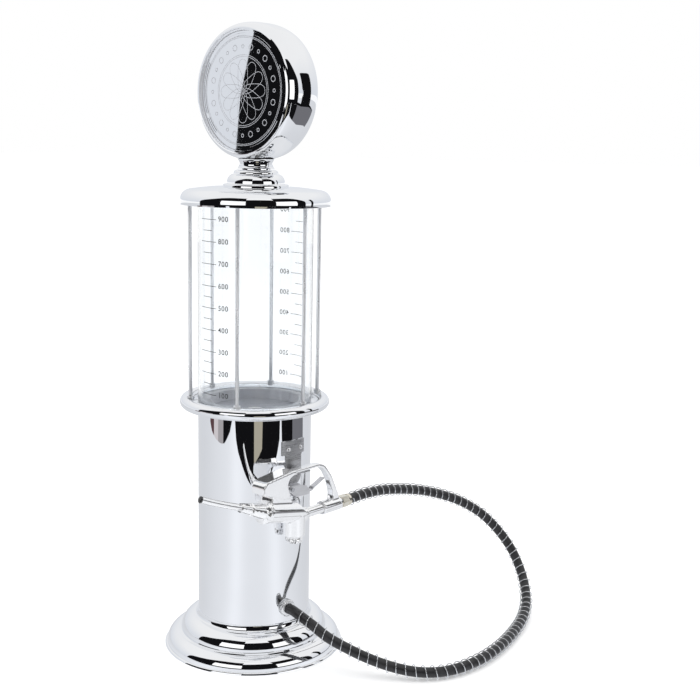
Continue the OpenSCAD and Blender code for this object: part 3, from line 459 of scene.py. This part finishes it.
# ---------------------------------------------------------------- lid, neck and head
# The chromed lid lifts off with everything on it. A turned neck stands on it, and the
# head's two chromed shells are clamped on a stud that runs down through the neck.
lid_outside = ([(58.1, 355.7), (58.4, 355.8), (58.5, 356.1)]
               + arc(50, 359.1, 8.5, 8.6, 0, 86, 24) + [(43, 368.7), (36.5, 369.4), (25.6, 369.7)])
lid_inside = ([(3.05, 369.7), (3.05, 368.2), (25.6, 368.2), (35, 367.9)]
              + arc(48.5, 359.1, 8.5, 7.1, 86, 12, 16))
lid = turned("lid_spinning", [(57, 355.7)] + lid_outside + lid_inside + [(57, 360.7)])
fine_form(lid, "lid_cover", "lid", chrome)
neck_outside = ([(25.5, 369.7), (25.5, 370.9), (25.2, 371.4), (24.6, 371.7), (22.7, 371.9)]
                + arc(16.2, 372.9, 6.3, 6.8, -5, 78, 28)
                + [(17.3, 379.7)] + arc(13.9, 380, 3.5, 2.8, 8, 80, 12)
                + arc(16.6, 386.4, 3.4, 3.5, 232, 168, 16)
                + [(13.3, 388.6), (13.6, 389.8), (14.4, 391)])
neck = turned("neck_turning", [(3.05, 369.7)] + neck_outside + [(14.4, 390.9), (3.05, 390.9)],
              steps=192)
fine_form(neck, "neck", "lid", chrome)

# The outline of one shell, as radius and distance from the head's middle plane. Three low steps
# frame the plate in its face, and their narrow walls, which look inwards, are left satin.
HEAD_Z, STEPS_FROM, INWARDS = 0.4413, 0.0115, -0.5
head_rim = [(47.3, 16.9)] + arc(47.6, 4.1, 3.9, 12.4, 86, 0, 28) + [(51.5, 0)]
head_steps = [(41.5, 12.0), (41.6, 13.4), (44.5, 13.4), (44.7, 15.9), (45.9, 15.9), (46, 17),
              (46.8, 17)]
head_inside = [(49.7, 0), (49.7, 7)] + arc(46.2, 6, 3.5, 6, 8, 88, 10)
step_satin = finish("step_satin", (0.86, 0.87, 0.9), 0.5, 0.5, spread=0.02,
                    rough_spread=0.05, grain=60)
for node, side in (("head_front_shell", 1), ("head_rear_shell", -1)):
    facing = Matrix.Rotation(side * math.pi / 2, 4, "X")
    shell = turned(node + "_spinning", head_steps + head_rim + head_inside,
                   place=Matrix.Translation((0, 0, HEAD_Z)) @ facing)
    fine_form(shell, node, "lid", chrome)
    shell.data.materials.append(step_satin)
    for face in shell.data.polygons:
        outward = Vector((face.center.x, 0, face.center.z - HEAD_Z)).normalized()
        if abs(face.center.y) > STEPS_FROM and face.normal.dot(outward) < INWARDS:
            face.material_index = 1
dress("lid_seal", silicone)
for node in ("neck_stud", "stud_nut", "stud_block"):
    dress(node, steel)

# Each face of the head holds a polished plate with an etched pattern of fine lines:
# a rosette of overlapping ovals, plain rings, and a ring of small circles.
for node in ("front_dial", "rear_dial"):
    dress(node, chrome)
PETALS, PETAL_R, PETAL_WIDE, PETALS_AT = 12, 0.0115, 0.45, 0.012
PLAIN_RINGS = (0.0255, 0.0268, 0.0395, 0.0405)
CIRCLES, CIRCLE_R, CIRCLES_AT = 24, (0.0012, 0.0021), 0.033
FINE_LINE, BOLD_LINE, LINE_FLAT = 0.00021, 0.0003, 0.25
etch = finish("etched_line", (0.62, 0.63, 0.66), 0.6, 0.55, spread=0.08, rough_spread=0.08,
              grain=900, bump=0.3, bump_grain=4000)


def etched_ring(place, radius, wide=1.0, turn=0.0, line=FINE_LINE):
    """A ring or an oval of thin flat line on a plate."""
    bpy.ops.object.select_all(action="DESELECT")
    bpy.ops.curve.primitive_bezier_circle_add(radius=radius)
    ring = bpy.context.object
    ring.data.dimensions = "3D"
    ring.data.resolution_u = 24 if radius > 0.004 else 6
    ring.data.bevel_resolution = 1
    for p in ring.data.splines[0].bezier_points:
        for co in ("co", "handle_left", "handle_right"):
            v = getattr(p, co)
            v.x *= wide
            setattr(p, co, v)
    ring.data.bevel_depth = line
    bpy.ops.object.convert(target="MESH")
    ring = bpy.context.object
    upright = Matrix.Rotation(math.pi / 2, 4, "X")
    ring.data.transform(Matrix.Translation(place) @ Matrix.Rotation(turn, 4, "Y")
                        @ Matrix.Diagonal((1, LINE_FLAT, 1, 1)) @ upright)
    return ring


for side, face_y in (("front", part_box("front_dial")[0][1]), ("rear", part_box("rear_dial")[1][1])):
    lines = []
    for k in range(PETALS):
        a = 2 * math.pi * k / PETALS
        place = (PETALS_AT * math.sin(a), face_y, HEAD_Z + PETALS_AT * math.cos(a))
        lines.append(etched_ring(place, PETAL_R, wide=PETAL_WIDE, turn=a))
    for radius in PLAIN_RINGS:
        lines.append(etched_ring((0, face_y, HEAD_Z), radius))
    for k in range(CIRCLES):
        a = 2 * math.pi * k / CIRCLES
        place = (CIRCLES_AT * math.sin(a), face_y, HEAD_Z + CIRCLES_AT * math.cos(a))
        lines.append(etched_ring(place, CIRCLE_R[k % 2], line=BOLD_LINE))
    pattern = join(lines, "etched_pattern_" + side)
    pattern.data.materials.clear()
    pattern.data.materials.append(etch)
    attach(pattern, "lid")

# ---------------------------------------------------------------- hook
# A strip of brushed stainless steel, riveted to the column. A tongue cut out of it
# carries the gun by the top bar of its guard.
brushed = finish("brushed_stainless", (0.5, 0.5, 0.51), 1.0, 0.3, spread=0.12, rough_spread=0.07,
                 grain=120, stretch=(1, 1, 14), bump=0.12, bump_grain=500)
dress("hook_bracket", brushed)
bright = finish("rivet_head", (0.8, 0.8, 0.81), 1.0, 0.15, spread=0.04, rough_spread=0.05,
                grain=300)
dress("hook_rivets", bright)

# ---------------------------------------------------------------- gun
# A bright plated casting: barrel, valve chamber and squared shoulder in one piece, with
# soft edges. The guard bow is a second casting, its lower end a sleeve on the handle pipe.
plated = finish("plated_casting", (0.97, 0.97, 0.975), 0.88, 0.05, spread=0.015, rough_spread=0.03,
                grain=70, bump=0.03, bump_grain=150)


def soft_cast(node, name, cell, rounds):
    """A casting with its edges and inner corners rounded, from a copy of the CAD part."""
    piece = welded_copy(node, name)
    cells = piece.modifiers.new("cells", "REMESH")
    cells.mode = "VOXEL"
    cells.voxel_size = cell
    bpy.ops.object.modifier_apply(modifier="cells")
    soft = piece.modifiers.new("soft", "SMOOTH")
    soft.factor = 0.5
    soft.iterations = rounds
    bpy.ops.object.modifier_apply(modifier="soft")
    bpy.ops.object.shade_smooth()
    fine_form(piece, node, "gun", plated)


soft_cast("gun_body", "gun_casting", 0.0005, 14)
soft_cast("guard_bow", "guard_casting", 0.0004, 10)
for node in ("handle_pipe", "spout_nose", "spout_collar", "spout_tube", "valve_cap"):
    smooth_copy(node, node + "_plated", "gun", plated)

# The hose is clamped in a hexagonal fitting of nickel on brass.
dress("hose_fitting", finish("nickel_on_brass", (0.8, 0.76, 0.66), 1.0, 0.14, spread=0.05,
                             rough_spread=0.05, grain=200, bump=0.05, bump_grain=900))

# The trigger is a folded channel of brushed sheet on a pin. It pushes the stem of the
# spring-loaded valve in the chamber below it.
dress("trigger", finish("brushed_sheet", (0.74, 0.74, 0.76), 0.9, 0.36, spread=0.06,
                        rough_spread=0.06, grain=120, stretch=(1, 1, 8), bump=0.08,
                        bump_grain=500))
dress("trigger_pin", steel)
black_seal = finish("black_seal", (0.02, 0.02, 0.02), 0.0, 0.5, spread=0.2,
                    rough_spread=0.06, grain=400)
for node, material in (("valve_stem", steel), ("valve_seal", black_seal), ("cap_seal", black_seal)):
    dress(node, material)

# The valve's spring is shortened from above as the stem comes down on it. Here it only gets a smooth
# copy with a mesh of its own.
return_spring = smooth_copy("valve_spring", "valve_return_spring", "gun",
                            wire_steel)
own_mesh(return_spring)

# ---------------------------------------------------------------- studio
# A white table in a white room. For polished surfaces the table ends half a metre in front of
# the dispenser, and past it is a dark room with a soft light on either side of the camera.
bpy.ops.object.select_all(action="DESELECT")
bpy.ops.mesh.primitive_plane_add(size=60, location=(0, 0, 0))
floor = bpy.context.object
floor.name = "studio_floor"
paper = finish("studio_paper", (0.93, 0.93, 0.93), 0.0, 0.9, spread=0.004, grain=2)
paper_skin = paper.node_tree.nodes["Principled BSDF"]
paper_skin.inputs["Emission Color"].default_value = (1, 1, 1, 1)
paper_skin.inputs["Emission Strength"].default_value = 0.2
floor.data.materials.append(paper)


def card(name, corners, colour, strength):
    """A flat card that only polished surfaces see."""
    mesh = bpy.data.meshes.new(name)
    mesh.from_pydata([camera_turn @ Vector(c) for c in corners], [], [tuple(range(len(corners)))])
    piece = bpy.data.objects.new(name, mesh)
    bpy.context.collection.objects.link(piece)
    mat = bpy.data.materials.new(name)
    mat.use_nodes = True
    mat.node_tree.nodes.clear()
    glow = mat.node_tree.nodes.new("ShaderNodeEmission")
    glow.inputs["Color"].default_value = (*colour, 1)
    glow.inputs["Strength"].default_value = strength
    out = mat.node_tree.nodes.new("ShaderNodeOutputMaterial")
    mat.node_tree.links.new(glow.outputs["Emission"], out.inputs["Surface"])
    piece.data.materials.append(mat)
    piece.visible_camera = False
    piece.visible_diffuse = False
    piece.visible_shadow = False
    piece.visible_transmission = False


def round_camera(degrees, distance, z):
    """A place by its bearing from the camera's side, its distance from the axis and its height."""
    a = math.radians(degrees)
    return (distance * math.sin(a), -distance * math.cos(a), z)


def upright_card(name, distance, start, end, lows, highs, colour, strength):
    """A standing card between two bearings, with its edges' heights at the start and the end."""
    card(name, [round_camera(start, distance, lows[0]), round_camera(end, distance, lows[1]),
                round_camera(end, distance, highs[1]), round_camera(start, distance, highs[0])],
         colour, strength)


# The dark room's wall, as degrees from the camera's side and height in metres. At its right end
# it is only a low strip, with one tall dark doorway over it.
DARK, ROOM_R = (0.006, 0.006, 0.007), 1.6
WALL = [(-91.8, 0), (-90.83, 0.37), (-90.45, 0.5), (-89.86, 0.58), (-89.3, 0.65), (-85, 0.85),
        (-80, 1.0), (-70, 1.35), (-60, 1.8), (-50, 2.1), (-40, 2.2), (-30, 2.2), (-20, 2.2),
        (-10, 2.2), (0, 2.2), (10, 2.2), (20, 2.2), (30, 2.2), (40, 2.2), (50, 2.2), (60, 2.1),
        (68, 1.8), (74, 1.3), (79, 0.9), (79.3, 0.1), (95, 0.08), (113, 0)]
for k, ((start, start_top), (end, end_top)) in enumerate(zip(WALL, WALL[1:])):
    upright_card("dark_room_%d" % k, ROOM_R, start, end, (0, 0), (start_top, end_top), DARK, 1.0)
card("dark_door", [round_camera(90.4, ROOM_R, 0), round_camera(94.5, ROOM_R, 0),
                   round_camera(96.5, ROOM_R, 1.1), round_camera(90.4, ROOM_R, 1.1)], DARK, 1.0)

# The ground past the table's edge, as degrees and millimetres from the axis: dark in front,
# with paler patches at both ends and one pale streak near the middle.
GROUND_Z = 0.0006
TABLE_EDGE = [(-99, 830), (-94, 776), (-88, 752), (-77, 725), (-64.5, 718), (-61.5, 721),
              (-56, 748), (-49.5, 791), (-45.3, 860), (-45, 1590), (-40, 1590), (-39.1, 860),
              (-36.8, 749), (-32.6, 685), (-26.5, 636), (-18.5, 581), (-10.6, 543), (-1, 520),
              (16, 517), (36, 604), (44.3, 666), (49.6, 745), (50.5, 850), (50.8, 1590),
              (53.4, 1590), (53.8, 850), (54.6, 743), (57.4, 677), (66, 640), (80, 610),
              (88, 612), (97, 620), (112, 660)]
for k, ((start, start_edge), (end, end_edge)) in enumerate(zip(TABLE_EDGE, TABLE_EDGE[1:])):
    ground = DARK
    if end <= -88:
        ground = (0.11, 0.06, 0.065)
    elif end <= -77:
        ground = (0.66, 0.62, 0.63)
    elif end <= -64:
        ground = (0.4, 0.38, 0.39)
    elif start >= 80:
        ground = (0.17, 0.17, 0.185)
    card("ground_%d" % k, [round_camera(start, start_edge * 0.001, GROUND_Z),
                           round_camera(end, end_edge * 0.001, GROUND_Z),
                           round_camera(end, ROOM_R, GROUND_Z),
                           round_camera(start, ROOM_R, GROUND_Z)], ground, 1.0)
card("ground_streak", [(x, y, 2 * GROUND_Z) for x, y in (
    (-0.013, -0.624), (0.17, -0.677), (0.45, -1.45), (-0.04, -1.55))], (0.42, 0.39, 0.31), 1.0)

# The table as polished surfaces see it, as glowing cards of painted light: a cool pale grey, painted
# paler towards the camera, with a painted pool of light that makes it palest under the two soft
# lights.
TONE_STEP, TABLE_R, TABLE_Z = 4, 4, 0.0003
TABLE_TONE, FRONT_GAIN, FRONT_SPREAD = 0.71, 0.135, 95
LIGHTS_AT, LIGHT_GAIN, LIGHT_SPREAD = (-34, 40), 0.11, 15
for start in range(-180, 180, TONE_STEP):
    end, middle = start + TONE_STEP, start + TONE_STEP / 2
    tone = TABLE_TONE + FRONT_GAIN * math.exp(-(middle / FRONT_SPREAD) ** 4)
    # A painted pool of light under each of the two soft lights.
    for lit in LIGHTS_AT:
        tone += LIGHT_GAIN * math.exp(-((middle - lit) / LIGHT_SPREAD) ** 2)
    card("table_tone_%d" % (start + 180), [(0, 0, TABLE_Z), round_camera(start, TABLE_R, TABLE_Z),
                                           round_camera(end, TABLE_R, TABLE_Z)],
         (tone, tone * 1.02, tone * 1.06), 1.0)

# Two soft lights beside the camera and a white panel over it.
WHITE, LIGHT_R = (1, 1, 1), 1.5
upright_card("soft_light_left", LIGHT_R, -53, -15, (0.18, 0.18), (0.88, 0.88), WHITE, 1.25)
upright_card("soft_light_right", LIGHT_R, 30, 64, (0.18, 0.18), (0.88, 0.88), WHITE, 1.25)
upright_card("panel_over_camera", LIGHT_R, -16, 28, (1.35, 1.35), (2.3, 2.3), WHITE, 1.0)

# A wide lamp overhead that polished surfaces don't mirror, and a white room that is a little
# greyer low down in reflections and pure white behind the dispenser.
bpy.ops.object.light_add(type="AREA", location=(0, 0, 1.8))
overhead = bpy.context.object
overhead.name = "overhead_light"
overhead.data.size = 2.2
overhead.data.energy = 14
overhead.visible_glossy = False

world = bpy.data.worlds.new("white_room")
bpy.context.scene.world = world
world.use_nodes = True
sky = world.node_tree.nodes
links = world.node_tree.links
sky.clear()
way = sky.new("ShaderNodeTexCoord")
split = sky.new("ShaderNodeSeparateXYZ")
links.new(way.outputs["Generated"], split.inputs["Vector"])
ramp = sky.new("ShaderNodeValToRGB")
ramp.color_ramp.elements[0].position = 0.0
ramp.color_ramp.elements[0].color = (0.8, 0.83, 0.88, 1)
ramp.color_ramp.elements[1].position = 0.6
ramp.color_ramp.elements[1].color = (1, 1, 1, 1)
links.new(split.outputs["Z"], ramp.inputs["Fac"])
room = sky.new("ShaderNodeBackground")
links.new(ramp.outputs["Color"], room.inputs["Color"])
room.inputs["Strength"].default_value = 0.95
behind = sky.new("ShaderNodeBackground")
behind.inputs["Color"].default_value = (1, 1, 1, 1)
behind.inputs["Strength"].default_value = 1.0
path = sky.new("ShaderNodeLightPath")
mix = sky.new("ShaderNodeMixShader")
out = sky.new("ShaderNodeOutputWorld")
links.new(path.outputs["Is Camera Ray"], mix.inputs["Fac"])
links.new(room.outputs["Background"], mix.inputs[1])
links.new(behind.outputs["Background"], mix.inputs[2])
links.new(mix.outputs["Shader"], out.inputs["Surface"])
bpy.context.scene.view_settings.view_transform = "Standard"
